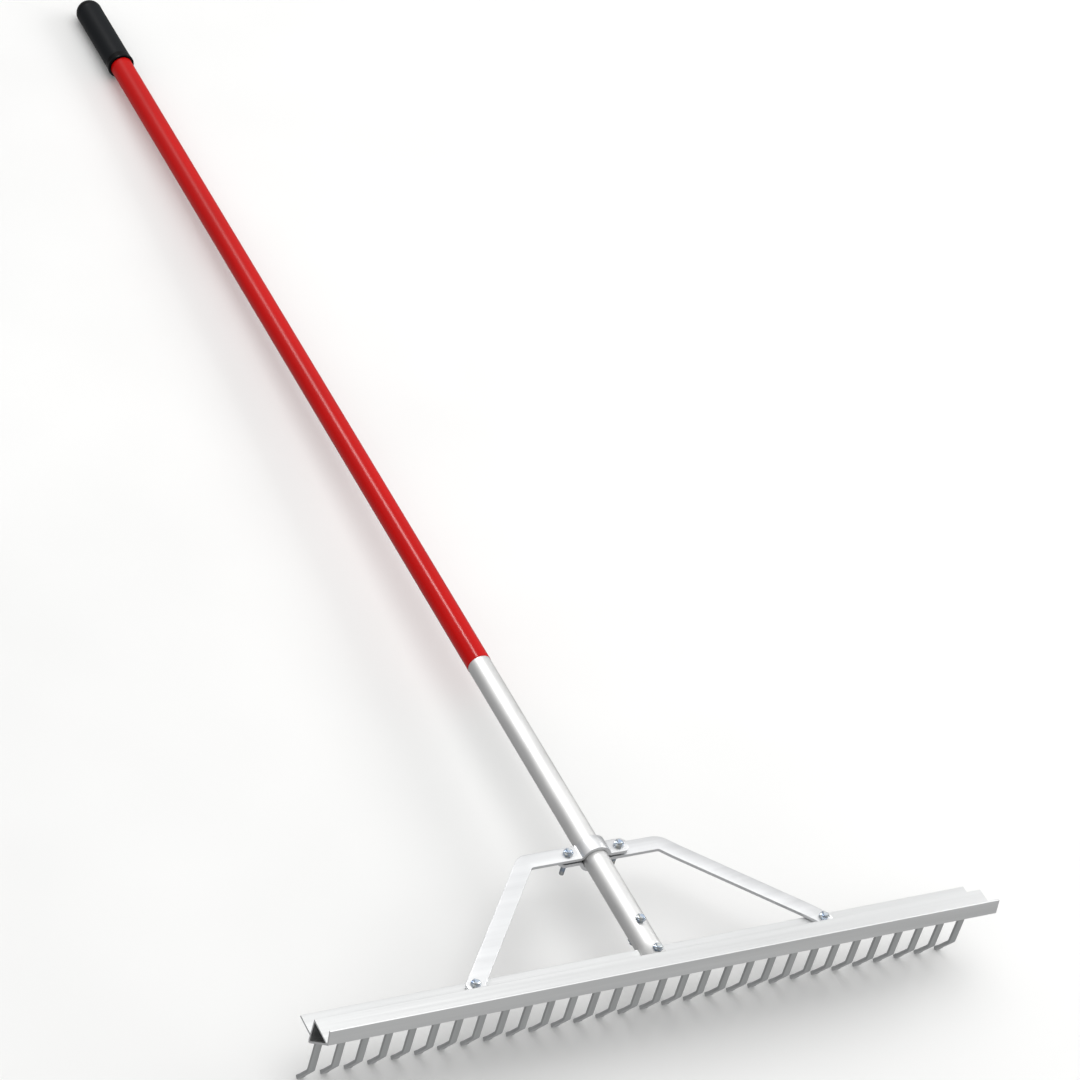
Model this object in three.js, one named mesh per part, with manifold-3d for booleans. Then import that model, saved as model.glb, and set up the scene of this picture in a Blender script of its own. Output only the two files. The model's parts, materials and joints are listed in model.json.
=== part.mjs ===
// A landscape rake: an aluminium head with a row of bent tines, a long tube handle slotted over the head's
// flange, and two formed straps that clamp the tube and brace the head.
//
// Millimetres. The head frame has its origin on the head's upper rear edge: +X along the head, +Y back along
// the handle, +Z away from the tines. The finished rake is then tipped so that it lies on level ground on its
// tine toes and the end of its grip, with the origin on the ground under the middle of its bounding box.
import * as THREE from "three";
import { mergeVertices } from "three/addons/utils/BufferGeometryUtils.js";
import Module from "manifold-3d";

// ---- driving sizes ----

const clearance = 0.3; // gap left between touching pieces

const head = {
  length: 914.4, // along X
  offset: -4, // the head's middle, sideways from the handle
  wall: 2.5,
  boxDepth: 41, // top plate, front to back
  webHeight: 41, // rear wall of the hollow triangle
  heelRadius: 3,
  lipHeight: 20,
  lipLean: 3, // how far the lip's top sits behind its foot
  lipThickness: 2.8,
  flangeDepth: 29, // behind the rear wall
  flangeThickness: 3,
  flangeDrop: 24.65, // upper rear edge down to the flange's upper face
};

const tine = {
  width: 9,
  thickness: 4,
  pitch: 30.48,
  setback: 14.9, // rear wall forward to the tine's middle plane
  shank: 72.5, // upper rear edge down to the bend
  bendAngle: 30, // degrees, towards the handle
  bendRadius: 6,
  foot: 38,
  toeThickness: 5,
  toeLength: 7,
};

const handle = {
  diameter: 31.75,
  wall: 1.65,
  start: 1.5, // behind the head's rear wall
  end: 1975,
  insertLength: 84, // solid rod inside the slotted end
};

const sleeve = {
  start: 531, // where the bare metal ends
  wall: 0.3,
  fit: 0.1, // shrunk close on the tube
};

const grip = {
  length: 132, // over the tube
  wall: 3,
  endWall: 6, // past the end of the tube, before the dome
  rim: 5, // bead at the mouth
  rimRise: 0.6,
  hangHole: 7,
};

const strap = {
  width: 22,
  thickness: 4.8,
  gap: 3, // left between the two straps where they are bolted together
  clampY: 190.5, // centre line of the clamped leg
  cornerX: 95,
  endX: 240.5,
  endY: 19.5,
  endMargin: 10, // past the end bolt's centre
  tabMargin: 12, // past the clamp bolt's centre
  tabClip: 5,
  boltX: 35.5,
  bendRadius: 5.5, // centre line, where the strap turns up into its saddle
  outerRadius: 26,
  innerRadius: 7,
  tipRadius: 7,
};

const bolt = {
  diameter: 6.35,
  acrossFlats: 11.1,
  headHeight: 4.2,
  nutHeight: 6,
  handleY: [13.5, 62],
  handleLength: 44,
  clampLength: 36,
  endLength: 20,
};

const toeRadius = 1.2; // corners of the toes
const segments = 48;

// ---- sizes that follow ----

const tubeRadius = handle.diameter / 2;
const sleeveInner = tubeRadius + sleeve.fit;
const sleeveOuter = sleeveInner + sleeve.wall;
const gripInner = sleeveOuter + clearance;
const gripOuter = gripInner + grip.wall;
const gripStart = handle.end - grip.length;
const domeCentre = handle.end + clearance + grip.endWall;
const holeRadius = bolt.diameter / 2 + clearance;
const flangeTop = -head.flangeDrop;
const flangeBottom = flangeTop - head.flangeThickness;
const jointPlane = (flangeTop + flangeBottom) / 2; // level of the handle's axis, midway between the straps
const tineCount = Math.floor((head.length - tine.width) / tine.pitch) + 1;

// ---- solids ----

const wasm = await Module();
wasm.setup();

// A closed geometry as a solid that can be cut and joined.
function solidOf(geometry) {
  const bare = geometry.clone();
  bare.deleteAttribute("normal");
  bare.deleteAttribute("uv");
  const merged = mergeVertices(bare, 1e-4);
  return new wasm.Manifold(
    new wasm.Mesh({
      numProp: 3,
      vertProperties: new Float32Array(merged.attributes.position.array),
      triVerts: new Uint32Array(merged.index.array),
    }),
  );
}

function geometryOf(solid) {
  const mesh = solid.getMesh();
  const geometry = new THREE.BufferGeometry();
  geometry.setAttribute("position", new THREE.BufferAttribute(mesh.vertProperties, 3));
  geometry.setIndex(new THREE.BufferAttribute(mesh.triVerts, 1));
  geometry.computeVertexNormals();
  return geometry;
}

function cut(geometry, tools) {
  return geometryOf(tools.reduce((left, tool) => left.subtract(solidOf(tool)), solidOf(geometry)));
}

function join(geometries) {
  return geometryOf(geometries.map(solidOf).reduce((whole, next) => whole.add(next)));
}

// A shape drawn in two of the axes and pushed along the third, centred on it.
const [unitX, unitY, unitZ] = [
  new THREE.Vector3(1, 0, 0),
  new THREE.Vector3(0, 1, 0),
  new THREE.Vector3(0, 0, 1),
];

function push(shape, depth, across, up, along) {
  const geometry = new THREE.ExtrudeGeometry(shape, { depth, bevelEnabled: false, curveSegments: segments / 4 });
  geometry.translate(0, 0, -depth / 2);
  return geometry.applyMatrix4(new THREE.Matrix4().makeBasis(across, up, along));
}

const pushAlongX = (shape, depth) => push(shape, depth, unitY, unitZ, unitX);
const pushAlongZ = (shape, depth) => push(shape, depth, unitX, unitY, unitZ);

// A round rod along Z through (x, y), from z = low to z = high.
function uprightRod(radius, x, y, low, high, sides = 24) {
  const rod = new THREE.CylinderGeometry(radius, radius, high - low, sides);
  rod.rotateX(Math.PI / 2);
  return rod.translate(x, y, (low + high) / 2);
}

// A polygon whose corners [x, y, radius] may be rounded by arcs.
function roundedPolygon(corners, arcSteps = 6) {
  const points = [];
  corners.forEach(([x, y, radius = 0], i) => {
    const here = new THREE.Vector2(x, y);
    if (radius === 0) {
      points.push(here);
      return;
    }
    const before = new THREE.Vector2(...corners.at(i - 1)).sub(here).normalize();
    const after = new THREE.Vector2(...corners[(i + 1) % corners.length]).sub(here).normalize();
    const half = Math.acos(before.dot(after)) / 2;
    const bisector = before.clone().add(after).normalize();
    const centre = here.clone().addScaledVector(bisector, radius / Math.sin(half));
    const first = here.clone().addScaledVector(before, radius / Math.tan(half)).sub(centre);
    const sweep = (Math.PI - 2 * half) * -Math.sign(before.cross(after));
    for (let k = 0; k <= arcSteps; k++) {
      const turned = first.clone().rotateAround(new THREE.Vector2(), (sweep * k) / arcSteps);
      points.push(turned.add(centre));
    }
  });
  return points;
}

// A strip of even thickness whose centre line is given as stations { x, y, angle }.
function stripOutline(stations, thickness) {
  const side = (sign) => ({ x, y, angle }) =>
    new THREE.Vector2(x - (sign * Math.sin(angle) * thickness) / 2, y + (sign * Math.cos(angle) * thickness) / 2);
  return [...stations.map(side(-1)), ...stations.map(side(1)).reverse()];
}

// Stations along an arc, where heading is the direction of travel at each of them.
function arcStations(centreX, centreY, radius, from, to, steps) {
  const turn = Math.sign(to - from);
  return Array.from({ length: steps + 1 }, (_, k) => {
    const angle = from + ((to - from) * k) / steps;
    return {
      x: centreX + radius * Math.cos(angle),
      y: centreY + radius * Math.sin(angle),
      angle: angle + (turn * Math.PI) / 2,
    };
  });
}

// ---- head ----

// Height of the head's sloping underside at a distance behind the rear wall (negative is forward).
function undersideAt(y) {
  return -head.webHeight * (1 + y / head.boxDepth);
}

function headGeometry() {
  const lipTopOuter = -head.boxDepth + head.lipLean;
  const outline = roundedPolygon([
    [0, 0],
    [-head.boxDepth + head.lipThickness, 0],
    [lipTopOuter + head.lipThickness, head.lipHeight],
    [lipTopOuter, head.lipHeight],
    [-head.boxDepth, 0],
    [0, -head.webHeight, head.heelRadius],
    [0, flangeBottom],
    [head.flangeDepth, flangeBottom],
    [head.flangeDepth, flangeTop],
    [0, flangeTop],
  ]);
  const shape = new THREE.Shape(outline);

  // The hollow keeps the wall thickness inside the three sides of the triangle.
  const slopeAngle = Math.atan2(head.webHeight, head.boxDepth);
  const wallAcrossSlope = head.wall / Math.sin(slopeAngle);
  const hollowFront = -head.boxDepth + wallAcrossSlope + head.wall / Math.tan(slopeAngle);
  const hollowHeel = undersideAt(-head.wall) + head.wall / Math.cos(slopeAngle);
  shape.holes.push(
    new THREE.Path([
      new THREE.Vector2(-head.wall, -head.wall),
      new THREE.Vector2(hollowFront, -head.wall),
      new THREE.Vector2(-head.wall, hollowHeel),
    ]),
  );
  const holes = [
    [-strap.endX, strap.endY],
    [strap.endX, strap.endY],
    [0, bolt.handleY[0]],
  ].map(([x, y]) => uprightRod(holeRadius, x, y, flangeBottom - 1, flangeTop + 1));
  return cut(pushAlongX(shape, head.length).translate(head.offset, 0, 0), holes);
}

// One tine: a flat bar that hangs from the head's underside and bends back to a thickened toe.
function tineGeometry() {
  const bend = THREE.MathUtils.degToRad(tine.bendAngle);
  const bendReach = tine.bendRadius * Math.tan(bend / 2);
  const bendStart = { x: -tine.setback, y: -tine.shank + bendReach };
  const arc = arcStations(
    bendStart.x + tine.bendRadius, bendStart.y, tine.bendRadius, Math.PI, Math.PI + bend, 6);
  const footAngle = bend - Math.PI / 2;
  const along = (distance) => ({
    x: -tine.setback + distance * Math.cos(footAngle),
    y: -tine.shank + distance * Math.sin(footAngle),
    angle: footAngle,
  });
  const bar = stripOutline([...arc, along(tine.foot - tine.toeLength / 2)], tine.thickness);
  const rear = -tine.setback + tine.thickness / 2;
  const front = -tine.setback - tine.thickness / 2;
  const gap = (clearance * Math.hypot(head.webHeight, head.boxDepth)) / head.boxDepth;
  const top = [rear, front].map((y) => new THREE.Vector2(y, undersideAt(y) - gap));
  const shank = pushAlongX(new THREE.Shape([...bar, ...top]), tine.width);
  const toe = roundedPolygon(
    stripOutline([along(tine.foot - tine.toeLength), along(tine.foot)], tine.toeThickness)
      .map(({ x, y }) => [x, y, toeRadius]),
    3,
  );
  return join([shank, pushAlongX(new THREE.Shape(toe), tine.width)]);
}

// ---- handle ----

// A ring-shaped wall about the handle's axis.
function turnedRing(inner, outer, from, to) {
  const profile = [[inner, from], [outer, from], [outer, to], [inner, to], [inner, from]];
  return new THREE.LatheGeometry(profile.map((p) => new THREE.Vector2(...p)), segments);
}

// The slot and the two bolt holes that the tube's end shares with the rod inside it.
function handleEndCuts() {
  const slotDepth = head.flangeDepth + 2 * clearance;
  const slot = new THREE.BoxGeometry(handle.diameter * 2, slotDepth * 2, head.flangeThickness + 2 * clearance);
  const holes = bolt.handleY.map((y) => uprightRod(holeRadius, 0, y, -handle.diameter, handle.diameter));
  return [slot, ...holes];
}

function tubeGeometry() {
  return cut(turnedRing(tubeRadius - handle.wall, tubeRadius, handle.start, handle.end), handleEndCuts());
}

function insertGeometry() {
  const radius = tubeRadius - handle.wall - clearance;
  const rod = new THREE.CylinderGeometry(radius, radius, handle.insertLength, segments);
  rod.translate(0, handle.start + handle.insertLength / 2, 0);
  return cut(rod, handleEndCuts());
}

function gripGeometry() {
  const profile = [
    [0, handle.end + clearance],
    [gripInner, handle.end + clearance],
    [gripInner, gripStart],
    [gripOuter - 1, gripStart],
    [gripOuter + grip.rimRise, gripStart + 1.6],
    [gripOuter + grip.rimRise, gripStart + grip.rim - 1],
    [gripOuter, gripStart + grip.rim],
    [gripOuter, domeCentre],
  ];
  const domeSteps = 10;
  for (let k = 1; k < domeSteps; k++) {
    const angle = (k / domeSteps) * (Math.PI / 2);
    profile.push([gripOuter * Math.cos(angle), domeCentre + gripOuter * Math.sin(angle)]);
  }
  profile.push([0, domeCentre + gripOuter]);
  const body = new THREE.LatheGeometry(profile.map((p) => new THREE.Vector2(...p)), segments);
  const hole = new THREE.CylinderGeometry(grip.hangHole / 2, grip.hangHole / 2, gripOuter * 3, 20);
  hole.rotateZ(Math.PI / 2);
  hole.translate(0, domeCentre + grip.hangHole / 2, 0);
  return cut(body, [hole]);
}

// ---- straps ----

// One strap, drawn as the left-hand one that passes over the tube, about the tube's axis. The stretch that is
// clamped lies just above the middle plane between the two straps; the leg then runs out to a flat pad that
// lies endRise higher, on the flange.
function strapGeometry(endRise) {
  const flatZ = strap.gap / 2 + strap.thickness / 2;
  const saddleRadius = tubeRadius + clearance + strap.thickness / 2;
  const rise = strap.bendRadius + flatZ;
  const bendX = Math.sqrt((saddleRadius + strap.bendRadius) ** 2 - rise ** 2);
  const meet = Math.asin(rise / (saddleRadius + strap.bendRadius));
  const tabEnd = strap.boltX + strap.tabMargin;
  const saddle = stripOutline(
    [
      { x: -(strap.cornerX + bendX) / 2, y: flatZ, angle: 0 },
      ...arcStations(-bendX, rise, strap.bendRadius, -Math.PI / 2, -meet, 5),
      ...arcStations(0, 0, saddleRadius, Math.PI - meet, meet, 20),
      ...arcStations(bendX, rise, strap.bendRadius, Math.PI + meet, Math.PI * 1.5, 5),
      { x: tabEnd, y: flatZ, angle: 0 },
    ],
    strap.thickness,
  );
  const saddlePiece = new THREE.ExtrudeGeometry(new THREE.Shape(saddle), { depth: strap.width, bevelEnabled: false });
  saddlePiece.translate(0, 0, -strap.width / 2);
  saddlePiece.rotateX(Math.PI / 2);
  saddlePiece.translate(0, strap.clampY, 0);

  // In plan: from the saddle out to the corner, then down the leg as far as the corner's rounding reaches.
  const half = strap.width / 2;
  const corner = new THREE.Vector2(-strap.cornerX, strap.clampY);
  const endBolt = new THREE.Vector2(-strap.endX, strap.endY);
  const downLeg = endBolt.clone().sub(corner).normalize();
  const outward = new THREE.Vector2(downLeg.y, -downLeg.x);
  const mitre = (half * (1 - outward.y)) / outward.x;
  const turn = Math.acos(-downLeg.x);
  const legStart = strap.outerRadius * Math.tan(turn / 2) + half;
  const legLength = corner.distanceTo(endBolt) + strap.endMargin;
  // The pad stays flat until the strap's whole width is clear of the flange.
  const padLength = strap.endMargin + (head.flangeDepth + clearance - strap.endY - half * downLeg.x) / -downLeg.y;
  const kink = corner.clone().addScaledVector(downLeg, legStart);
  const plan = roundedPolygon([
    [-bendX - 2, strap.clampY - half],
    [-bendX - 2, strap.clampY + half],
    [corner.x + mitre, strap.clampY + half, strap.outerRadius],
    [kink.x + outward.x * half, kink.y + outward.y * half],
    [kink.x - outward.x * half, kink.y - outward.y * half],
    [corner.x - mitre, strap.clampY - half, strap.innerRadius],
  ]);
  const elbow = pushAlongZ(new THREE.Shape(plan), strap.thickness).translate(0, 0, flatZ);

  // Side view of the rest of the leg: a gentle slope, then the pad.
  const slopeEnd = legLength - padLength;
  const slope = Math.atan2(endRise, slopeEnd - legStart);
  const side = stripOutline(
    [
      { x: legStart - 1, y: flatZ, angle: 0 },
      { x: legStart, y: flatZ, angle: slope / 2 },
      { x: slopeEnd, y: flatZ + endRise, angle: slope / 2 },
      { x: legLength, y: flatZ + endRise, angle: 0 },
    ],
    strap.thickness,
  );
  const leg = new THREE.ExtrudeGeometry(new THREE.Shape(side), { depth: strap.width, bevelEnabled: false });
  leg.translate(0, 0, -half);
  leg.applyMatrix4(
    new THREE.Matrix4().makeBasis(
      new THREE.Vector3(downLeg.x, downLeg.y, 0),
      unitZ,
      new THREE.Vector3(downLeg.y, -downLeg.x, 0),
    ),
  );
  leg.translate(corner.x, corner.y, 0);

  const clip = (size, x, y, angle) => {
    const box = new THREE.BoxGeometry(size * Math.SQRT2, size * Math.SQRT2, handle.diameter);
    box.rotateZ(angle + Math.PI / 4);
    return box.translate(x, y, flatZ);
  };
  const tip = corner.clone().addScaledVector(downLeg, legLength);
  const clips = [-1, 1].flatMap((sign) => [
    clip(strap.tabClip, tabEnd, strap.clampY + sign * half, 0),
    clip(strap.tabClip, tip.x + sign * outward.x * half, tip.y + sign * outward.y * half, downLeg.angle()),
  ]);
  const holes = [
    [-strap.boltX, strap.clampY],
    [strap.boltX, strap.clampY],
    [-strap.endX, strap.endY],
  ].map(([x, y]) => uprightRod(holeRadius, x, y, -handle.diameter, handle.diameter));
  return cut(join([saddlePiece, elbow, leg]), [...clips, ...holes]);
}

// ---- fasteners ----

function hexagon(acrossFlats) {
  const corner = acrossFlats / Math.sqrt(3);
  return Array.from({ length: 6 }, (_, k) => {
    const angle = ((k + 0.5) * Math.PI) / 3;
    return new THREE.Vector2(corner * Math.cos(angle), corner * Math.sin(angle));
  });
}

// A hexagon bolt hanging from the underside of its head at z = 0.
function boltGeometry(length) {
  const headPiece = pushAlongZ(new THREE.Shape(hexagon(bolt.acrossFlats)), bolt.headHeight);
  headPiece.translate(0, 0, bolt.headHeight / 2);
  return join([headPiece, uprightRod(bolt.diameter / 2, 0, 0, -length, 1)]);
}

// A nut whose upper face is at z = 0.
function nutGeometry() {
  const shape = new THREE.Shape(hexagon(bolt.acrossFlats));
  shape.holes.push(new THREE.Path().absarc(0, 0, holeRadius, 0, Math.PI * 2, true));
  return pushAlongZ(shape, bolt.nutHeight).translate(0, 0, -bolt.nutHeight / 2);
}

// ---- assembly ----

const finish = (color, roughness, metalness) => new THREE.MeshStandardMaterial({ color, roughness, metalness });

const millAluminium = () => finish(0xdfe0e3, 0.42, 1);
const satinTube = () => finish(0xc9c9c7, 0.34, 1);
const redVinyl = () => finish(0xc81f1c, 0.32, 0);
const blackVinyl = () => finish(0x1a1d20, 0.55, 0);
const zincSteel = () => finish(0xaab2bd, 0.28, 1);

const rake = new THREE.Group();

function place(name, geometry, material, x = 0, y = 0, z = 0) {
  const mesh = new THREE.Mesh(geometry, material);
  mesh.name = name;
  mesh.position.set(x, y, z);
  rake.add(mesh);
  return mesh;
}

place("rake_head", headGeometry(), millAluminium());
for (let i = 0; i < tineCount; i++) {
  const x = head.offset - head.length / 2 + tine.width / 2 + i * tine.pitch;
  place("tine_" + String(i + 1).padStart(2, "0"), tineGeometry(), millAluminium(), x);
}

place("handle_tube", tubeGeometry(), satinTube(), 0, 0, jointPlane);
place("handle_insert", insertGeometry(), millAluminium(), 0, 0, jointPlane);
place("handle_sleeve", turnedRing(sleeveInner, sleeveOuter, sleeve.start, handle.end), redVinyl(), 0, 0, jointPlane);
place("hand_grip", gripGeometry(), blackVinyl(), 0, 0, jointPlane);

// Both straps end on the flange's upper face: the left one lies nearly level with it, the right one rises.
const strapOnFlange = flangeTop + clearance;
const leftRise = strapOnFlange - (jointPlane + strap.gap / 2);
const rightRise = strapOnFlange - (jointPlane - strap.gap / 2 - strap.thickness);
place("left_brace", strapGeometry(leftRise), millAluminium(), 0, 0, jointPlane);
const rightBrace = place("right_brace", strapGeometry(-rightRise), millAluminium(), 0, 0, jointPlane);
rightBrace.rotation.y = Math.PI;

// Each bolt: name, length, place of its hole, face under its head and face over its nut.
const strapTop = strapOnFlange + strap.thickness;
const clampTop = jointPlane + strap.gap / 2 + strap.thickness;
const clampBottom = jointPlane - strap.gap / 2 - strap.thickness;
const tubeTop = jointPlane + tubeRadius;
const tubeBottom = jointPlane - tubeRadius;
[
  ["handle_lower", bolt.handleLength, 0, bolt.handleY[0], tubeTop, tubeBottom],
  ["handle_upper", bolt.handleLength, 0, bolt.handleY[1], tubeTop, tubeBottom],
  ["clamp_left", bolt.clampLength, -strap.boltX, strap.clampY, clampTop, clampBottom],
  ["clamp_right", bolt.clampLength, strap.boltX, strap.clampY, clampTop, clampBottom],
  ["brace_end_left", bolt.endLength, -strap.endX, strap.endY, strapTop, flangeBottom],
  ["brace_end_right", bolt.endLength, strap.endX, strap.endY, strapTop, flangeBottom],
].forEach(([name, length, x, y, top, bottom]) => {
  place(name + "_bolt", boltGeometry(length), zincSteel(), x, y, top + clearance);
  place(name + "_nut", nutGeometry(), zincSteel(), x, y, bottom - clearance);
});

// ---- resting on the ground ----

// The tilt brings the rounded toes and the underside of the grip's dome down to one level plane: the line that
// touches two circles, one about the corner of a toe and one about the dome's centre.
const bendAngle = THREE.MathUtils.degToRad(tine.bendAngle);
const toeReach = tine.foot - toeRadius;
const toeSide = tine.toeThickness / 2 - toeRadius;
const toe = {
  y: -tine.setback + toeReach * Math.sin(bendAngle) - toeSide * Math.cos(bendAngle),
  z: -tine.shank - toeReach * Math.cos(bendAngle) - toeSide * Math.sin(bendAngle),
};
const run = domeCentre - toe.y;
const drop = jointPlane - toe.z;
const tilt = Math.atan2(drop, run) - Math.asin((gripOuter - toeRadius) / Math.hypot(drop, run));
rake.rotation.x = -tilt;

const part = new THREE.Group();
part.add(rake);
part.updateMatrixWorld(true);
const bounds = new THREE.Box3().setFromObject(rake, true);
rake.position.set(
  -(bounds.min.x + bounds.max.x) / 2,
  -(bounds.min.y + bounds.max.y) / 2,
  -bounds.min.z,
);

export default part;
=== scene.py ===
"""A landscape rake lying on a pale floor: aluminium head with bent tines, clamped straps, tube handle with a
red vinyl sleeve and a black end grip.

Sizes are in millimetres in the rake's own frame until in_row_frame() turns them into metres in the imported
part's frame. The rake's frame has its origin on the head's upper rear edge, in the middle of the head, with
+X along the head, +Y back along the handle and +Z away from the tines.
"""

import json
import math

import bpy
import numpy as np
from mathutils import Matrix, Vector
from mathutils.geometry import tessellate_polygon


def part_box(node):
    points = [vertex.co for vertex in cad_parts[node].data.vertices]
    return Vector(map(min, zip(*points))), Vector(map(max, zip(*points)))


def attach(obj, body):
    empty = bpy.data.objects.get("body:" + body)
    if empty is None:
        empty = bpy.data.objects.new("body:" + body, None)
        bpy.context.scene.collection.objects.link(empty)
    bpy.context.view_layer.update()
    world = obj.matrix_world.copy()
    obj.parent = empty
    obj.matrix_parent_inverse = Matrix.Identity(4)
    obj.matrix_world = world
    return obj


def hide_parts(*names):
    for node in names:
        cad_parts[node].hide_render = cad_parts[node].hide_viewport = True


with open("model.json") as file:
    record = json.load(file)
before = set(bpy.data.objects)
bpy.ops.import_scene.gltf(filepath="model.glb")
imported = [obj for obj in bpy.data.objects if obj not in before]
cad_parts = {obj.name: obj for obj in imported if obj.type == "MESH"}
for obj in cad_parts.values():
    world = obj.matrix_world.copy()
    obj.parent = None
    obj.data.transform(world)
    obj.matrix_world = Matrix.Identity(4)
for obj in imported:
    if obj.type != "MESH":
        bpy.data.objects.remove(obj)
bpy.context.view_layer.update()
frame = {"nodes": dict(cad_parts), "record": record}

# ---- driving sizes, millimetres ----

HEAD = {"length": 914.4, "wall": 2.5, "depth": 41.0, "drop": 41.0, "heel": 3.0, "edge": 0.5, "corner": 1.0}
LIP = {"height": 20.0, "lean": 3.0, "thickness": 2.8}
FLANGE = {"depth": 29.0, "thickness": 3.0, "top": -24.65}
TINE = {"width": 9.0, "thickness": 4.0, "pitch": 30.48, "setback": 14.9, "bend_at": 72.5, "bend": 30.0}
TINE |= {"bend_radius": 8.0, "straight_to": 60.0, "foot": 38.0, "corner": 0.7}
TINE |= {"toe_thickness": 5.0, "toe_length": 7.0, "toe_step": 1.5}
HANDLE = {"x": 4.0, "radius": 15.875, "wall": 1.65, "start": 1.5, "end": 1975.0}
SLEEVE = {"start": 531.0, "inner": 15.975, "outer": 16.275}
GRIP = {"start": 1843.0, "inner": 16.575, "outer": 19.575, "end_wall": 6.0, "rim": 5.0, "rim_rise": 0.6}
GRIP |= {"mouth_tuck": 0.9, "mouth_bevel": 0.4, "mouth_band": 13.0, "relief": 0.25, "hang_hole": 3.5}
STRAP = {"width": 22.0, "thickness": 4.8, "gap": 3.0, "clamp_y": 190.5, "corner_x": 95.0, "bolt_x": 35.5}
STRAP |= {"end_x": 240.5, "end_y": 19.5, "tab": 12.0, "end": 10.0, "clip": 5.0}
STRAP |= {"corner_radius": 15.0, "saddle_foot": 5.5, "edge": 0.7}
BOLT = {"radius": 3.175, "flats": 11.1, "head": 4.2, "nut": 6.0}
BOLT |= {"thread": 1.27, "thread_depth": 0.55, "threaded": 16.0, "tip": 1.2, "tip_taper": 0.4}
BOLT |= {"dish": 1.5, "dish_rim": 4.2, "dish_floor": 2.2, "handle_y": (13.5, 62.0)}
BOLT_LENGTH = {"handle": 44.0, "clamp": 36.0, "brace_end": 20.0}
GAP = 0.3  # left between touching pieces
BITE = 0.1  # how far a shank runs into its head and a nut into its thread, so that no gap shows
POLE = 0.05  # radius of the last ring before the middle point of a closed end

AXIS_Z = FLANGE["top"] - FLANGE["thickness"] / 2  # level of the handle's axis, in the flange's middle
DOME_Y = HANDLE["end"] + GAP + GRIP["end_wall"]
STRAP_ON_FLANGE = FLANGE["top"] + GAP

# ---- the rake's frame ----

lip_front = frame["record"]["mounts"][0]  # the middle of the lip's front face
lip_middle = Vector((0, -HEAD["depth"] + LIP["lean"] / 2, LIP["height"] / 2))
lip_lean = math.atan2(LIP["lean"], LIP["height"])
tilt = math.atan2(lip_front["axis"][2], -lip_front["axis"][1]) - lip_lean
RAKE_TO_ROW = Matrix.Rotation(-tilt, 3, "X")
RAKE_ORIGIN = Vector(lip_front["pos_m"]) - RAKE_TO_ROW @ lip_middle / 1000


def in_row_frame(points):
    """Rake-frame millimetres to the part's metres: turn by the rake's tilt, then move to its origin."""
    tipped = np.asarray(points, float) / 1000 @ np.array(RAKE_TO_ROW).T
    return tipped + np.array(RAKE_ORIGIN)


# ---- materials ----


def linear(hex_colour):
    """An sRGB hex colour as linear red, green, blue and alpha."""
    srgb = np.array([int(hex_colour[i : i + 2], 16) / 255 for i in (1, 3, 5)])
    rgb = np.where(srgb <= 0.04045, srgb / 12.92, ((srgb + 0.055) / 1.055) ** 2.4)
    return (*rgb.tolist(), 1.0)


def new_material(name, **sockets):
    """A material with its principled shader set, and its node tree."""
    material = bpy.data.materials.new(name)
    material.use_nodes = True
    shader = material.node_tree.nodes["Principled BSDF"]
    for socket, value in sockets.items():
        shader.inputs[socket.replace("_", " ")].default_value = value
    return material, material.node_tree, shader


def add(tree, kind, links=(), values=(), **settings):
    """Adds a node with its settings, its sockets' values and its links, pairs of source and socket."""
    node = tree.nodes.new(kind)
    for name, value in settings.items():
        setattr(node, name, value)
    for socket, value in dict(values).items():
        node.inputs[socket].default_value = value
    for source, socket in links:
        tree.links.new(source, node.inputs[socket])
    return node


def place_of(tree, sizes):
    """Object coordinates, scaled so that one unit is each of the sizes, in metres, along its axis."""
    coordinates = add(tree, "ShaderNodeTexCoord")
    values = {"Scale": [1 / size for size in sizes]}
    return add(tree, "ShaderNodeMapping", [(coordinates.outputs["Object"], "Vector")], values)


def noise(tree, vector, detail=3.0, scale=1.0, roughness=0.5):
    """Cloudy noise whose grain is one unit of the given vector."""
    values = {"Scale": scale, "Detail": detail, "Roughness": roughness}
    return add(tree, "ShaderNodeTexNoise", [(vector.outputs["Vector"], "Vector")], values).outputs["Fac"]


def between(tree, factor, low, high, from_low=0.3, from_high=0.7):
    """A number that runs from low to high as the factor does from from_low to from_high."""
    values = {"From Min": from_low, "From Max": from_high, "To Min": low, "To Max": high}
    return add(tree, "ShaderNodeMapRange", [(factor, "Value")], values).outputs["Result"]


def tinted(tree, factor, dark, light, from_low=0.3, from_high=0.7):
    """A colour that runs from dark to light as the factor does from from_low to from_high."""
    ramp = add(tree, "ShaderNodeValToRGB", [(factor, "Fac")])
    ramp.color_ramp.elements[0].position = from_low
    ramp.color_ramp.elements[0].color = linear(dark)
    ramp.color_ramp.elements[1].position = from_high
    ramp.color_ramp.elements[1].color = linear(light)
    return ramp.outputs["Color"]


def bump(tree, shader, height, depth, strength=1.0):
    """Raises the surface by height times depth in metres."""
    values = {"Distance": depth, "Strength": strength}
    node = add(tree, "ShaderNodeBump", [(height, "Height")], values)
    tree.links.new(node.outputs["Normal"], shader.inputs["Normal"])


def extruded_aluminium(name, dark, light, along, roughness=(0.3, 0.42)):
    """Aluminium drawn through a die or rolled, with lines that run the length of the bar. Real ones are
    0.3 mm apart. Here they are 2 mm apart, to show as faint streaks, and they spread the highlight."""
    material, tree, shader = new_material(name, Metallic=1.0)
    line_size = [0.002] * 3
    streak_size = [0.012] * 3
    line_size[along] = streak_size[along] = 0.5
    die_lines = noise(tree, place_of(tree, line_size))
    broad_streaks = noise(tree, place_of(tree, streak_size))
    tree.links.new(tinted(tree, broad_streaks, dark, light), shader.inputs["Base Color"])
    tree.links.new(between(tree, die_lines, *roughness), shader.inputs["Roughness"])
    bump(tree, shader, die_lines, 0.00005, 0.35)
    return material


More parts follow.
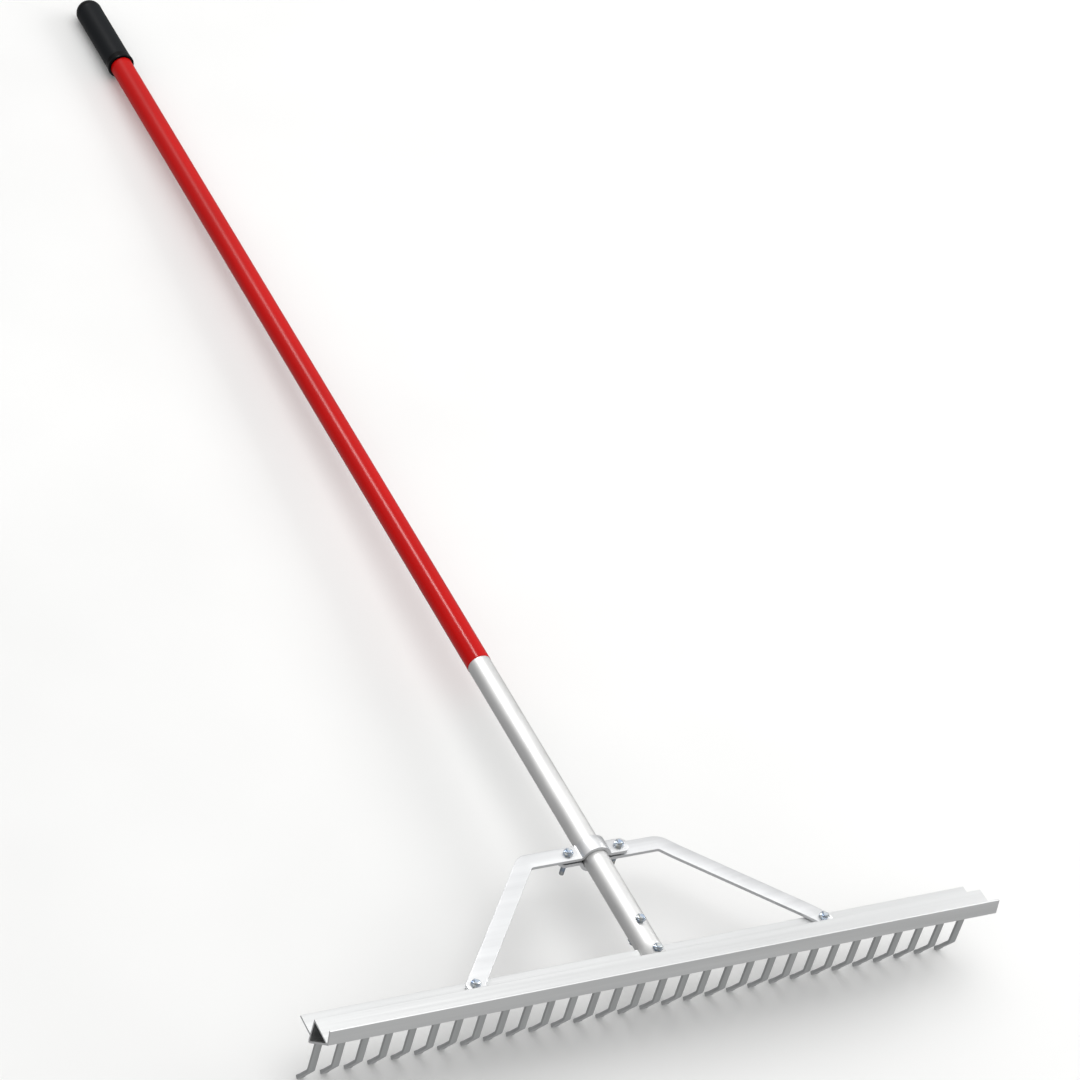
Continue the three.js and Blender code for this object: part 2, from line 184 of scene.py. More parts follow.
def satin_drawn_tube():
    """Drawn aluminium tube, satin: hair lines 0.4 mm apart run down the tube and handling has dulled it in
    patches about 60 mm long."""
    material, tree, shader = new_material("satin_drawn_aluminium_tube", Metallic=1.0)
    lines = noise(tree, place_of(tree, (0.0004, 0.3, 0.0004)), detail=2.0)
    patches = noise(tree, place_of(tree, (0.02, 0.06, 0.02)), detail=4.0)
    tree.links.new(tinted(tree, patches, "#d2d2d1", "#d9d9d8"), shader.inputs["Base Color"])
    tree.links.new(between(tree, patches, 0.48, 0.54), shader.inputs["Roughness"])
    bump(tree, shader, lines, 0.00002, 0.3)
    return material


def shrunk_red_vinyl(box):
    """Glossy red vinyl sleeve shrunk on a tube. An orange-peel ripple about 3 mm across breaks the gloss, and
    the end that is handled most has gone duller."""
    glossy, dulled = 0.2, 0.42
    material, tree, shader = new_material("shrunk_red_vinyl", IOR=1.53, Specular_IOR_Level=0.14)
    coordinates = add(tree, "ShaderNodeTexCoord")
    split = add(tree, "ShaderNodeSeparateXYZ", [(coordinates.outputs["Object"], "Vector")])
    wear = between(tree, split.outputs["Y"], glossy, dulled, box[0][1], box[1][1])
    peel = noise(tree, place_of(tree, (0.003, 0.006, 0.003)), detail=2.0)
    streaks = noise(tree, place_of(tree, (0.012, 0.2, 0.012)))
    tree.links.new(tinted(tree, streaks, "#bc0301", "#ca0502"), shader.inputs["Base Color"])
    tree.links.new(wear, shader.inputs["Roughness"])
    bump(tree, shader, peel, 0.00004, 0.35)
    return material


def dipped_black_vinyl():
    """Black vinyl grip, smooth and fairly glossy at its mouth and dome. Between them it is grained, with a
    pebble about 1 mm across that makes that stretch duller, and its colour there is painted a lighter grey: a
    painted sheen standing in for the light that the grain scatters."""
    material, tree, shader = new_material("dipped_black_vinyl", IOR=1.5, Specular_IOR_Level=0.1)
    band_ends = [(0, GRIP["start"] + GRIP["mouth_band"], 0), (0, DOME_Y, 0)]
    mouth, dome = in_row_frame(band_ends)[:, 1]
    blend = 0.0015
    coordinates = add(tree, "ShaderNodeTexCoord")
    split = add(tree, "ShaderNodeSeparateXYZ", [(coordinates.outputs["Object"], "Vector")])
    past_mouth = between(tree, split.outputs["Y"], 0, 1, mouth - blend, mouth + blend)
    before_dome = between(tree, split.outputs["Y"], 1, 0, dome - blend, dome + blend)
    links = [(past_mouth, 0), (before_dome, 1)]
    grained = add(tree, "ShaderNodeMath", links, operation="MULTIPLY").outputs["Value"]
    pebble = noise(tree, place_of(tree, [0.001] * 3))
    grain_and_painted_sheen = add(tree, "ShaderNodeMath", [(grained, 0), (pebble, 1)], operation="MULTIPLY").outputs["Value"]
    # The grained stretch is painted a lighter grey than the mouth and dome: a painted sheen. Its higher
    # roughness and bump are the real grain.
    tree.links.new(tinted(tree, grain_and_painted_sheen, "#030304", "#14171a", 0.0, 0.55), shader.inputs["Base Color"])
    tree.links.new(between(tree, grain_and_painted_sheen, 0.26, 0.5, 0.0, 0.5), shader.inputs["Roughness"])
    bump(tree, shader, grain_and_painted_sheen, 0.0001, 0.5)
    return material


def bright_zinc_plate():
    """Bright zinc plate on steel: a cold blue passivation that drifts to pale straw over 5 mm, nearly mirror
    bright, with fine pitting 0.5 mm across."""
    material, tree, shader = new_material("bright_zinc_plated_steel", Metallic=1.0)
    drift = noise(tree, place_of(tree, [0.005] * 3), detail=2.0)
    pits = noise(tree, place_of(tree, [0.0005] * 3))
    tree.links.new(tinted(tree, drift, "#7f90a8", "#adaea9"), shader.inputs["Base Color"])
    tree.links.new(between(tree, pits, 0.12, 0.22), shader.inputs["Roughness"])
    bump(tree, shader, pits, 0.00002, 0.3)
    return material


def matte_floor_paint():
    """Pale matte floor paint: roller stipple about 4 mm across keeps it from looking like paper."""
    material, tree, shader = new_material("pale_matte_floor_paint", IOR=1.45, Roughness=0.9)
    stipple = noise(tree, place_of(tree, [0.004] * 3), detail=2.0)
    mottle = noise(tree, place_of(tree, [0.4] * 3), detail=2.0)
    tree.links.new(tinted(tree, mottle, "#eeeeed", "#f3f3f2"), shader.inputs["Base Color"])
    bump(tree, shader, stipple, 0.00005, 0.2)
    return material


HEAD_METAL = extruded_aluminium("mill_finish_extruded_aluminium", "#d9dada", "#e2e3e3", 0)
# The tines' colour is painted darker than the head's: painted shade for their vertical faces. Their higher
# roughness is their duller sheared finish.
TINE_METAL = extruded_aluminium("shade_darkened_sheared_aluminium", "#b2b4b4", "#c0c2c2", 2, (0.36, 0.46))
STRAP_METAL = extruded_aluminium("rolled_flat_bar_aluminium", "#d0d1d2", "#dadbdc", 0, (0.34, 0.46))
TUBE_METAL = satin_drawn_tube()
RED_VINYL = shrunk_red_vinyl(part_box("handle_sleeve"))
BLACK_VINYL = dipped_black_vinyl()
ZINC = bright_zinc_plate()

# ---- surfaces ----


def add_piece(name, points, faces, material, stands_for, smooth_below=35.0):
    """Makes a piece from rake-frame points and faces, in place of the nodes that it stands for."""
    mesh = bpy.data.meshes.new(name)
    mesh.from_pydata(in_row_frame(points).tolist(), [], faces)
    mesh.validate()
    mesh.shade_smooth()
    mesh.set_sharp_from_angle(angle=math.radians(smooth_below))
    mesh.materials.append(material)
    piece = bpy.data.objects.new(name, mesh)
    bpy.context.collection.objects.link(piece)
    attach(piece, "root")
    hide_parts(*stands_for)
    return piece


def grid_faces(rows, columns, start=0, closed_rows=False, flip=False):
    """Quads of a grid of rows by columns, closed round in its columns and, if asked, in its rows."""
    down = np.arange(rows if closed_rows else rows - 1)[:, None]
    across = np.arange(columns)[None, :]
    a = down * columns + across
    b = down * columns + (across + 1) % columns
    c = ((down + 1) % rows) * columns + (across + 1) % columns
    d = ((down + 1) % rows) * columns + across
    quads = np.stack([a, b, c, d], axis=-1).reshape(-1, 4) + start
    return (quads[:, ::-1] if flip else quads).tolist()


def capped(grid):
    """A closed tube from a grid of rings: the grid's quads, with a fan to a middle point on each end."""
    rows, columns, _ = grid.shape
    first = grid[0].mean(axis=0)
    last = grid[-1].mean(axis=0)
    points = np.vstack([grid.reshape(-1, 3), first, last])
    ring = np.arange(columns)
    after = (ring + 1) % columns
    tail = (rows - 1) * columns
    start_fan = np.stack([np.full(columns, rows * columns), after, ring], axis=-1)
    end_fan = np.stack([np.full(columns, rows * columns + 1), ring + tail, after + tail], axis=-1)
    return points, grid_faces(rows, columns) + start_fan.tolist() + end_fan.tolist()


def rounded_loop(corners, steps=4):
    """An outline of corners (x, y, radius), counter-clockwise. Each corner becomes a quadratic curve between
    the points where a round of that radius would touch its two sides."""
    corners = np.asarray(corners, float)
    here = corners[:, :2]
    back = np.roll(here, 1, axis=0) - here
    ahead = np.roll(here, -1, axis=0) - here
    back /= np.linalg.norm(back, axis=1)[:, None]
    ahead /= np.linalg.norm(ahead, axis=1)[:, None]
    half_angle = np.arccos(np.clip((back * ahead).sum(axis=1), -1, 1)) / 2
    reach = corners[:, 2] / np.tan(half_angle)
    weight = np.linspace(0, 1, steps + 1)[None, :, None]
    start = (here + back * reach[:, None])[:, None, :]
    end = (here + ahead * reach[:, None])[:, None, :]
    middle = here[:, None, :]
    bow = (1 - weight) ** 2 * start + 2 * weight * (1 - weight) * middle + weight**2 * end
    return bow.reshape(-1, 2)


def bar_section(width, thickness, corner, steps=3):
    """A rectangle with rounded corners, centred, as (across, up) pairs, counter-clockwise."""
    quarters = [(-1, -1), (1, -1), (1, 1), (-1, 1)]
    corners = [(across * width / 2, up * thickness / 2, corner) for across, up in quarters]
    return rounded_loop(corners, steps)


def carried(path, across, section, width_scale=1.0, up_scale=1.0):
    """A section carried along a path: point + across * u + up * v, where up is square to the path and
    to across."""
    along = np.gradient(path, axis=0)
    along /= np.linalg.norm(along, axis=1)[:, None]
    up = np.cross(along, across)
    up /= np.linalg.norm(up, axis=1)[:, None]
    u = np.asarray(section)[None, :, 0, None] * np.reshape(width_scale, (-1, 1, 1))
    v = np.asarray(section)[None, :, 1, None] * np.reshape(up_scale, (-1, 1, 1))
    return path[:, None, :] + across[:, None, :] * u + up[:, None, :] * v


def turned(profile, columns=96, x=HANDLE["x"], z=AXIS_Z):
    """A profile of (radius, y) pairs turned about the handle's axis, a full turn in even steps."""
    angle = np.arange(columns) / columns * 2 * np.pi
    radius = np.asarray(profile)[:, 0, None]
    along = np.asarray(profile)[:, 1, None] + 0 * angle
    return np.stack([x + radius * np.sin(angle), along, z + radius * np.cos(angle)], axis=-1)


# ---- head ----


def head_extrusion():
    """The die's outline pushed along X: a solid outline with rounded corners and a three-cornered hollow."""
    depth, drop, wall, edge, corner = (HEAD[key] for key in ("depth", "drop", "wall", "edge", "corner"))
    lip_top = -depth + LIP["lean"]
    bottom = FLANGE["top"] - FLANGE["thickness"]
    outer = rounded_loop([
        (0, 0, edge),
        (-depth + LIP["thickness"], 0, corner),
        (lip_top + LIP["thickness"], LIP["height"], edge),
        (lip_top, LIP["height"], edge),
        (-depth, 0, edge),
        (0, -drop, HEAD["heel"]),
        (0, bottom, corner),
        (FLANGE["depth"], bottom, edge),
        (FLANGE["depth"], FLANGE["top"], edge),
        (0, FLANGE["top"], corner),
    ])
    slope = math.atan2(drop, depth)
    hollow_front = -depth + wall / math.sin(slope) + wall / math.tan(slope)
    heel = -drop * (depth - wall) / depth + wall / math.cos(slope)
    hollow = rounded_loop([(-wall, -wall, corner), (hollow_front, -wall, corner), (-wall, heel, corner)])
    stations = np.linspace(-0.5, 0.5, 9) * HEAD["length"]
    loops = [outer, hollow]
    points, faces, start = [], [], 0
    for loop in loops:
        x = np.broadcast_to(stations[:, None], (len(stations), len(loop)))
        yz = np.broadcast_to(loop[None], (len(stations), *loop.shape))
        points.append(np.concatenate([x[..., None], yz], axis=-1).reshape(-1, 3))
        faces += grid_faces(len(stations), len(loop), start, flip=True)
        start += len(stations) * len(loop)
    triangles = tessellate_polygon([[Vector((*p, 0)) for p in loop] for loop in loops])
    index = np.concatenate([np.arange(len(outer)), len(stations) * len(outer) + np.arange(len(hollow))])
    step = np.concatenate([np.full(len(outer), len(outer)), np.full(len(hollow), len(hollow))])
    near = index[np.array(triangles)]
    far = (index + step * (len(stations) - 1))[np.array(triangles)]
    faces += near[:, ::-1].tolist() + far.tolist()
    add_piece("head_extrusion", np.vstack(points), faces, HEAD_METAL, ["rake_head"])


def underside(y):
    """Height of the triangle's sloping underside over y, from the heel at y = 0 up to the lip."""
    return -HEAD["drop"] * (HEAD["depth"] + y) / HEAD["depth"]


# The toe's last stations: how far from its tip, then their shares of its thickness and of its width.
TOE_ROUNDING = np.array([(1.6, 1.0, 1.0), (0.9, 0.93, 0.97), (0.35, 0.8, 0.9), (0.05, 0.5, 0.75)])


def tine_path():
    """A tine's middle line in y, z: straight down, round the bend as an arc, then straight along the foot."""
    bend = math.radians(TINE["bend"])
    reach = TINE["bend_radius"] * math.tan(bend / 2)
    turn = np.linspace(0, bend, 7)
    arc_y = -TINE["setback"] + TINE["bend_radius"] * (1 - np.cos(turn))
    arc_z = -TINE["bend_at"] + reach - TINE["bend_radius"] * np.sin(turn)
    toe_start = TINE["foot"] - TINE["toe_length"]
    along = np.concatenate([[toe_start - TINE["toe_step"], toe_start], TINE["foot"] - TOE_ROUNDING[:, 0]])
    foot_y = -TINE["setback"] + along * math.sin(bend)
    foot_z = -TINE["bend_at"] - along * math.cos(bend)
    top = underside(-TINE["setback"]) - GAP
    y = np.concatenate([[-TINE["setback"]] * 2, arc_y, foot_y])
    z = np.concatenate([[top, -TINE["straight_to"]], arc_z, foot_z])
    return y, z


def tine_bar(number):
    """A flat bar carried down the tine's path, thicker at its toe, whose last millimetres are rounded off."""
    y, z = tine_path()
    x = -HEAD["length"] / 2 + TINE["width"] / 2 + number * TINE["pitch"]
    path = np.stack([np.full_like(y, x), y, z], axis=-1)
    across = np.tile([1.0, 0.0, 0.0], (len(y), 1))
    rounded = len(TOE_ROUNDING)
    thickness = np.ones(len(y))
    thickness[-rounded - 1 :] = TINE["toe_thickness"] / TINE["thickness"]
    thickness[-rounded:] *= TOE_ROUNDING[:, 1]
    width = np.ones(len(y))
    width[-rounded:] = TOE_ROUNDING[:, 2]
    section = bar_section(TINE["width"], TINE["thickness"], TINE["corner"], 2)
    grid = carried(path, across, section, width, thickness)
    # The top ring is sheared so that it meets the sloping underside.
    grid[0, :, 2] = underside(grid[0, :, 1]) - GAP
    points, faces = capped(grid)
    label = f"{number + 1:02d}"
    add_piece(f"tine_bar_{label}", points, faces, TINE_METAL, [f"tine_{label}"])


# ---- handle ----


def handle_tube():
    """The tube's outer skin on a grid of station and angle, with a slot either side that the flange runs in,
    thickened inwards to the tube's wall."""
    radius = HANDLE["radius"]
    whole_from = 60.0  # the rings are whole and evenly spaced from here
    slot_end = FLANGE["depth"] + 2 * GAP
    slot_angle = math.asin((FLANGE["thickness"] / 2 + GAP) / radius)
    quarter = np.linspace(slot_angle, np.pi / 2, 22)
    half = np.concatenate([quarter, np.pi - quarter[-2::-1]])
    angle = np.concatenate([half, half + np.pi])
    stations = np.concatenate([[HANDLE["start"], slot_end], np.linspace(whole_from, HANDLE["end"], 40)])
    along = stations[:, None] + 0 * angle
    x = HANDLE["x"] + radius * np.cos(angle) + 0 * along
    z = AXIS_Z + radius * np.sin(angle) + 0 * along
    grid = np.stack([x, along, z], axis=-1)
    rows, columns, _ = grid.shape
    faces = np.array(grid_faces(rows, columns, flip=True)).reshape(rows - 1, columns, 4)
    open_slot = np.zeros((rows - 1, columns), bool)
    open_slot[0, [len(half) - 1, columns - 1]] = True
    points, kept = grid.reshape(-1, 3), faces[~open_slot].tolist()
    piece = add_piece("slotted_handle_tube", points, kept, TUBE_METAL, ["handle_tube"])
    wall = piece.modifiers.new("tube_wall", "SOLIDIFY")
    wall.thickness = HANDLE["wall"] / 1000
    wall.offset = -1


def red_sleeve():
    """A thin ring turned about the tube; its free edge is rolled over a little where it was cut."""
    inner, outer, start = SLEEVE["inner"], SLEEVE["outer"], SLEEVE["start"]
    middle = (inner + outer) / 2
    half_wall = (outer - inner) / 2
    roll = np.linspace(-np.pi / 2, np.pi / 2, 7)
    rim = np.stack([middle + half_wall * np.sin(roll), start + half_wall * (1 - np.cos(roll))], axis=-1)
    stations = np.linspace(start + 2, HANDLE["end"] - 1, 90)
    skin = np.stack([np.full_like(stations, outer), stations], axis=-1)
    tail = np.array([[outer, HANDLE["end"]], [inner, HANDLE["end"]]])
    grid = turned(np.vstack([rim, skin, tail]))
    faces = grid_faces(grid.shape[0], grid.shape[1], closed_rows=True, flip=True)
    add_piece("red_sleeve", grid.reshape(-1, 3), faces, RED_VINYL, ["handle_sleeve"])


def grip_skin():
    """The grip turned about the handle. Its mouth is a bead, a sine to the power 0.7, which tucks in at its
    edge by an exponential. Its body is sunk by relief times a logistic step down and one back up. Its end is
    a half-sphere."""
    inner, outer, start = GRIP["inner"], GRIP["outer"], GRIP["start"]
    bead = np.linspace(0, np.pi, 9)
    bead_y = start + GRIP["rim"] / 2 - GRIP["rim"] / 2 * np.cos(bead)
    tuck = GRIP["mouth_tuck"] * np.exp(-(bead_y - start) / 0.5)
    bead_r = outer + GRIP["rim_rise"] * np.sin(bead) ** 0.7 - tuck
    body_y = np.linspace(start + GRIP["rim"] + 0.5, DOME_Y, 80)
    step_width = 0.4
    past_mouth = 1 / (1 + np.exp(-(body_y - start - GRIP["mouth_band"]) / step_width))
    before_dome = 1 / (1 + np.exp((body_y - DOME_Y + 2) / step_width))
    body_r = outer - GRIP["relief"] * past_mouth * before_dome
    dome = np.linspace(0, np.pi / 2, 16)[1:-1]
    bore_end, bevel = HANDLE["end"] + GAP, GRIP["mouth_bevel"]
    profile = np.vstack([
        [[POLE, bore_end], [inner, bore_end], [inner, start + bevel], [inner + bevel, start]],
        np.stack([bead_r, bead_y], axis=-1),
        np.stack([body_r, body_y], axis=-1),
        np.stack([outer * np.cos(dome), DOME_Y + outer * np.sin(dome)], axis=-1),
        [[POLE, DOME_Y + outer]],
    ])
    return capped(turned(profile)[:, ::-1])


def hand_grip():
    """The grip's turned skin with the cross hole cut through the solid of its dome."""
    points, faces = grip_skin()
    piece = add_piece("vinyl_hand_grip", points, faces, BLACK_VINYL, ["hand_grip"])
    angle = np.arange(32) / 32 * 2 * np.pi
    hole_y = DOME_Y + GRIP["hang_hole"]
    drill_reach = 30.0  # either side of the axis, well past the dome
    ends = HANDLE["x"] + np.array([-drill_reach, drill_reach])
    drill = np.stack([
        ends[:, None] + 0 * angle,
        hole_y + GRIP["hang_hole"] * np.cos(angle) + 0 * ends[:, None],
        AXIS_Z + GRIP["hang_hole"] * np.sin(angle) + 0 * ends[:, None],
    ], axis=-1)
    drill_points, drill_faces = capped(drill[:, ::-1])
    drill_mesh = bpy.data.meshes.new("hang_hole_drill")
    drill_mesh.from_pydata(in_row_frame(drill_points).tolist(), [], drill_faces)
    drill_object = bpy.data.objects.new("hang_hole_drill", drill_mesh)
    bpy.context.collection.objects.link(drill_object)
    cut = piece.modifiers.new("hang_hole", "BOOLEAN")
    cut.operation = "DIFFERENCE"
    cut.solver = "EXACT"
    cut.object = drill_object
    depsgraph = bpy.context.evaluated_depsgraph_get()
    drilled = bpy.data.meshes.new_from_object(piece.evaluated_get(depsgraph))
    piece.modifiers.clear()
    piece.data = drilled
    drilled.set_sharp_from_angle(angle=math.radians(40))
    bpy.data.objects.remove(drill_object)


# ---- straps ----


CLIPPED_ENDS = np.array([0.0, 0.02, 1.0, 1.02])  # stations of a clipped end, as shares of the clip


def strap_path(rise):
    """A left-hand strap's middle line, as x, y, z about the tube's axis, with its sideways direction. It runs
    from the tab over the saddle's arc, round the corner's arc in plan, down the leg and on to the pad."""
    radius = HANDLE["radius"] + GAP + STRAP["thickness"] / 2
    flat_z = STRAP["gap"] / 2 + STRAP["thickness"] / 2
    foot = STRAP["saddle_foot"]
    lift = foot + flat_z
    bend_x = math.sqrt((radius + foot) ** 2 - lift**2)
    meet = math.asin(lift / (radius + foot))
    tab = STRAP["bolt_x"] + STRAP["tab"]
    step = np.linspace(0, 1, 9)
    over = np.linspace(meet, np.pi - meet, 33)
    near = -np.pi / 2 - step * (np.pi / 2 - meet)
    far = -meet - step * (np.pi / 2 - meet)
    clip = STRAP["clip"]
    saddle_x = np.concatenate([
        tab - clip * CLIPPED_ENDS,
        bend_x + foot * np.cos(near),
        radius * np.cos(over[1:-1]),
        -bend_x + foot * np.cos(far),
    ])
    saddle_z = np.concatenate([
        np.full_like(CLIPPED_ENDS, flat_z),
        lift + foot * np.sin(near),
        radius * np.sin(over[1:-1]),
        lift + foot * np.sin(far),
    ])
    corner = np.array([-STRAP["corner_x"], STRAP["clamp_y"]])
    end_bolt = np.array([-STRAP["end_x"], STRAP["end_y"]])
    down = (end_bolt - corner) / np.linalg.norm(end_bolt - corner)
    turn = math.acos(-down[0])
    reach = STRAP["corner_radius"] * math.tan(turn / 2)
    swing = np.linspace(0, turn, 15)
    arc_x = corner[0] + reach - STRAP["corner_radius"] * np.sin(swing)
    arc_y = corner[1] - STRAP["corner_radius"] * (1 - np.cos(swing))
    leg = np.linalg.norm(end_bolt - corner) + STRAP["end"]
    half_width = STRAP["width"] / 2
    slope_start = (STRAP["corner_radius"] + half_width) * math.tan(turn / 2) + half_width
    clear_of_flange = (FLANGE["depth"] + GAP - STRAP["end_y"] - half_width * down[0]) / -down[1]
    pad_start = leg - STRAP["end"] - clear_of_flange
    tip = leg - clip * CLIPPED_ENDS[::-1]
    run = np.concatenate([np.linspace(slope_start, pad_start, 12), tip])
    leg_x, leg_y = corner[:, None] + down[:, None] * run
    ramp = np.clip((run - slope_start) / (pad_start - slope_start), 0, 1)
    leg_z = flat_z + rise * ramp
    x = np.concatenate([saddle_x, arc_x, leg_x])
    y = np.concatenate([np.full_like(saddle_x, STRAP["clamp_y"]), arc_y, leg_y])
    z = np.concatenate([saddle_z, np.full_like(arc_x, flat_z), leg_z])
    heading = np.concatenate([np.zeros_like(saddle_x), swing, np.full_like(leg_x, turn)])
    across = np.stack([np.sin(heading), -np.cos(heading), np.zeros_like(heading)], axis=-1)
    return np.stack([x, y, z], axis=-1), across


def strap_bar(name, node, rise, side):
    """A flat bar carried along the strap's path, both ends clipped at their corners; side -1 turns it half a
    turn about the tube."""
    path, across = strap_path(rise)
    width = np.ones(len(path))
    clipped = 1 - 2 * STRAP["clip"] / STRAP["width"]
    nearly_clipped = clipped + 0.01
    width[[0, 1]] = [clipped, nearly_clipped]
    width[[-2, -1]] = [nearly_clipped, clipped]
    section = bar_section(STRAP["width"], STRAP["thickness"], STRAP["edge"])
    grid = carried(path, across, section, width)
    grid *= np.array([side, 1, side])
    grid += np.array([HANDLE["x"], 0, AXIS_Z])
    points, faces = capped(grid)
    add_piece(name, points, faces, STRAP_METAL, [node])


# ---- fasteners ----


def hexagon_radius(angle):
    """Distance from a hexagon's centre to its side in each direction, for its size across flats."""
    return BOLT["flats"] / 2 / np.cos((angle + np.pi / 6) % (np.pi / 3) - np.pi / 6)


def hex_rings(low, high, crowned_low, bore, dish=0.0):
    """Rings of a hexagonal block: a flat face's circle, then the hexagon, which falls away from the face at
    30 degrees, below too where crowned_low is 1. A dish sinks the middle of the upper face."""
    angle = np.arange(96) / 96 * 2 * np.pi
    side = hexagon_radius(angle)
    face_share = 0.95  # the flat circle against the size across flats
    face = np.full_like(side, BOLT["flats"] / 2 * face_share)
    drop = (side - face) * math.tan(math.radians(30))
    bottom = low + drop * crowned_low
    top = high - drop
    radii = [bore, face, side, side, face, BOLT["dish_rim"], BOLT["dish_floor"], bore]
    heights = [low, low, bottom, top, high, high - 0.1 * dish, high - dish, high - dish]
    radius, height = (np.stack([value + 0 * angle for value in rows]) for rows in (radii, heights))
    return np.stack([radius * np.cos(angle), radius * np.sin(angle), height], axis=-1)


def threaded_rings(low, high):
    """A bolt's shank from high down to low: its radius less a triangle wave of height / pitch plus turns,
    over the threaded stretch, and less a taper at the tip."""
    rings_per_turn = 5
    angle = np.arange(48) / 48 * 2 * np.pi
    height = np.linspace(high, low, int((high - low) / BOLT["thread"] * rings_per_turn))[:, None]
    wave = np.abs(((height / BOLT["thread"] + angle / (2 * np.pi)) % 1) - 0.5) * 2
    threaded = np.clip((low + BOLT["threaded"] - height) / 2, 0, 1)
    tip = np.clip(1 - (height - low) / BOLT["tip"], 0, 1)
    radius = BOLT["radius"] - BOLT["thread_depth"] * wave * threaded - BOLT["tip_taper"] * tip
    return np.stack([radius * np.cos(angle), radius * np.sin(angle), height + 0 * angle], axis=-1)


def fastener(name, x, y, top, bottom, length):
    """A hex bolt seated on top with its nut under bottom, x and y from the handle's axis."""
    place = np.array([HANDLE["x"] + x, y, 0.0])
    thread_smooth_below = 80.0
    seat = top + GAP
    nut_top = bottom - GAP
    head_points, head_faces = capped(hex_rings(seat, seat + BOLT["head"], 0, POLE, BOLT["dish"]))
    shank_points, shank_faces = capped(threaded_rings(seat - length, seat + BITE)[::-1])
    nut = hex_rings(nut_top - BOLT["nut"], nut_top, 1, BOLT["radius"] - BITE)
    nut_points, nut_faces = nut.reshape(-1, 3), grid_faces(nut.shape[0], nut.shape[1], closed_rows=True)
    bolt_node, nut_node = [f"{name}_bolt"], [f"{name}_nut"]
    add_piece(f"{name}_head", head_points + place, head_faces, ZINC, bolt_node)
    shank_name, shank_points = f"{name}_shank", shank_points + place
    add_piece(shank_name, shank_points, shank_faces, ZINC, bolt_node, thread_smooth_below)
    add_piece(f"{name}_hexnut", nut_points + place, nut_faces, ZINC, nut_node)


# ---- the rake ----

head_extrusion()
for number in range(sum(node.startswith("tine_") for node in frame["nodes"])):
    tine_bar(number)
handle_tube()
red_sleeve()
hand_grip()

left_rise = STRAP_ON_FLANGE - (AXIS_Z + STRAP["gap"] / 2)
right_rise = left_rise + STRAP["gap"] + STRAP["thickness"]
strap_bar("left_strap", "left_brace", left_rise, 1)
strap_bar("right_strap", "right_brace", -right_rise, -1)

tube_top = AXIS_Z + HANDLE["radius"]
tube_bottom = AXIS_Z - HANDLE["radius"]
clamp_top = AXIS_Z + STRAP["gap"] / 2 + STRAP["thickness"]
clamp_bottom = AXIS_Z - STRAP["gap"] / 2 - STRAP["thickness"]
end_top = STRAP_ON_FLANGE + STRAP["thickness"]
end_bottom = FLANGE["top"] - FLANGE["thickness"]
sides = (("left", -1), ("right", 1))
for name, bolt_y in zip(("handle_lower", "handle_upper"), BOLT["handle_y"]):
    fastener(name, 0, bolt_y, tube_top, tube_bottom, BOLT_LENGTH["handle"])
for side, way in sides:
    bolt_x = way * STRAP["bolt_x"]
    fastener(f"clamp_{side}", bolt_x, STRAP["clamp_y"], clamp_top, clamp_bottom, BOLT_LENGTH["clamp"])
for side, way in sides:
    bolt_x = way * STRAP["end_x"]
    fastener(f"brace_end_{side}", bolt_x, STRAP["end_y"], end_top, end_bottom, BOLT_LENGTH["brace_end"])

for slot in frame["nodes"]["handle_insert"].material_slots:
    slot.material = HEAD_METAL

# ---- floor, light and camera ----


def floor():
    """A level square of floor under the rake, 30 m wide, so that it fills every view. It takes no part in
    reflections and bounced light, so that the metal and the vinyl keep the tones they have on plain white."""
    half = 15.0
    corners = [(-half, -half, 0), (half, -half, 0), (half, half, 0), (-half, half, 0)]
    mesh = bpy.data.meshes.new("studio_floor")
    mesh.from_pydata(corners, [], [(0, 1, 2, 3)])
    mesh.materials.append(matte_floor_paint())
    piece = bpy.data.objects.new("studio_floor", mesh)
    bpy.context.collection.objects.link(piece)
    piece.visible_glossy = False
    piece.visible_diffuse = False


def softbox(name, place, size, watts, aim=(0.0, -0.4, 0.1)):
    """A rectangular soft light at place, in metres, turned towards aim."""
    light = bpy.data.lights.new(name, "AREA")
    light.shape = "RECTANGLE"
    light.size, light.size_y = size
    light.energy = watts
    lamp = bpy.data.objects.new(name, light)
    lamp.location = place
    direction = Vector(aim) - Vector(place)
    lamp.rotation_euler = direction.to_track_quat("-Z", "Y").to_euler()
    bpy.context.collection.objects.link(lamp)
    return lamp


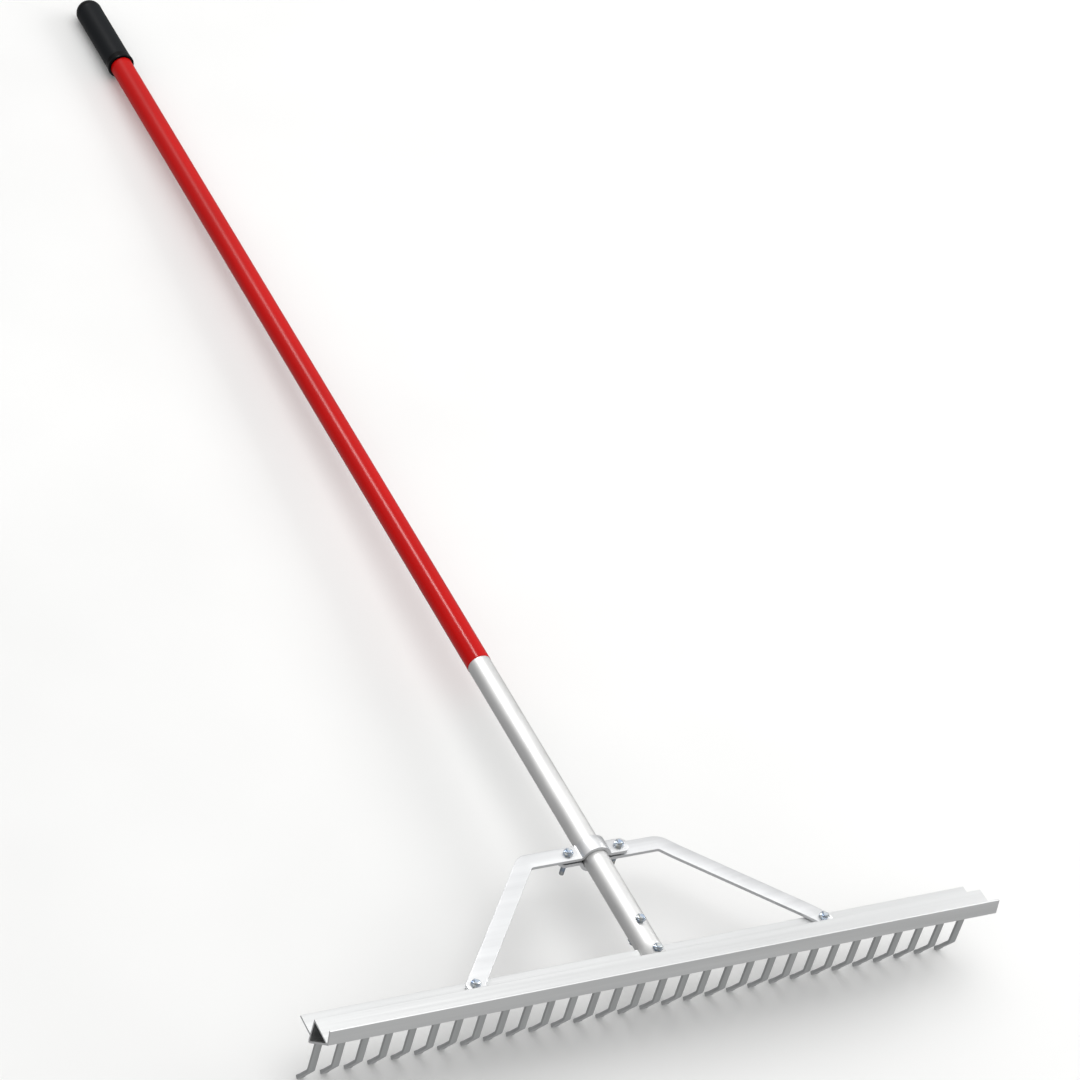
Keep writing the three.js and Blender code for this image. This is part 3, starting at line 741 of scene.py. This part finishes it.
def studio_world():
    """Soft light from all round: bright overhead and dimmer at the horizon. Below the horizon it is pale grey
    towards the rake's front and a middle grey towards its grip, which draws the shaded sides of the metal."""
    world = bpy.data.worlds.new("studio_world")
    world.use_nodes = True
    tree = world.node_tree
    direction = add(tree, "ShaderNodeTexCoord")
    split = add(tree, "ShaderNodeSeparateXYZ", [(direction.outputs["Generated"], "Vector")])
    sky = tinted(tree, split.outputs["Z"], "#9c9c9d", "#fafafa", 0.02, 0.5)
    backwards = between(tree, split.outputs["Y"], 0, 1, -0.6, 0.5)
    ground = tinted(tree, backwards, "#d0d0d0", "#b2b2b3", 0.0, 1.0)
    above_horizon = between(tree, split.outputs["Z"], 0, 1, -0.12, 0.06)
    factor, low_colour, high_colour, mixed_colour = 0, 6, 7, 2  # the colour mix's socket numbers
    links = [(above_horizon, factor), (ground, low_colour), (sky, high_colour)]
    mixed = add(tree, "ShaderNodeMix", links, data_type="RGBA")
    background = tree.nodes["Background"]
    tree.links.new(mixed.outputs[mixed_colour], background.inputs["Color"])
    background.inputs["Strength"].default_value = 0.88
    bpy.context.scene.world = world


CAMERA = {"place": (-2234.5, -2588.6, 3328.9), "azimuth": -36.95, "elevation": 40.58, "roll": 18.2}
CAMERA |= {"lens": 132.49, "sensor": 36.0}


def camera():
    """A long lens held above the rake's left front corner and rolled, so that the rake stands at a slant."""
    azimuth, elevation, roll = (math.radians(CAMERA[angle]) for angle in ("azimuth", "elevation", "roll"))
    place = in_row_frame([CAMERA["place"]])[0]
    back = Vector((
        math.sin(azimuth) * math.cos(elevation),
        -math.cos(azimuth) * math.cos(elevation),
        math.sin(elevation),
    ))
    data = bpy.data.cameras.new("camera")
    data.lens = CAMERA["lens"]
    data.sensor_width = CAMERA["sensor"]
    data.clip_end = 100
    item = bpy.data.objects.new("camera", data)
    item.location = place
    level = (-back).to_track_quat("-Z", "Y")
    item.rotation_mode = "QUATERNION"
    item.rotation_quaternion = level @ Matrix.Rotation(roll, 3, "Z").to_quaternion()
    bpy.context.collection.objects.link(item)
    bpy.context.scene.camera = item


floor()
studio_world()
softbox("overhead_softbox", (0.4, 0.6, 5.0), (5.0, 5.0), 76)
softbox("side_softbox", (3.4, -0.2, 1.9), (3.2, 1.2), 40)
strip_light = softbox("handle_strip_light", (-0.62, 1.98, 2.4), (0.5, 1.3), 52, aim=(0.0, 0.0, 0.05))
strip_light.visible_diffuse = False  # only its reflection, a stripe along the sleeve, is wanted
camera()
bpy.context.scene.view_settings.view_transform = "Standard"
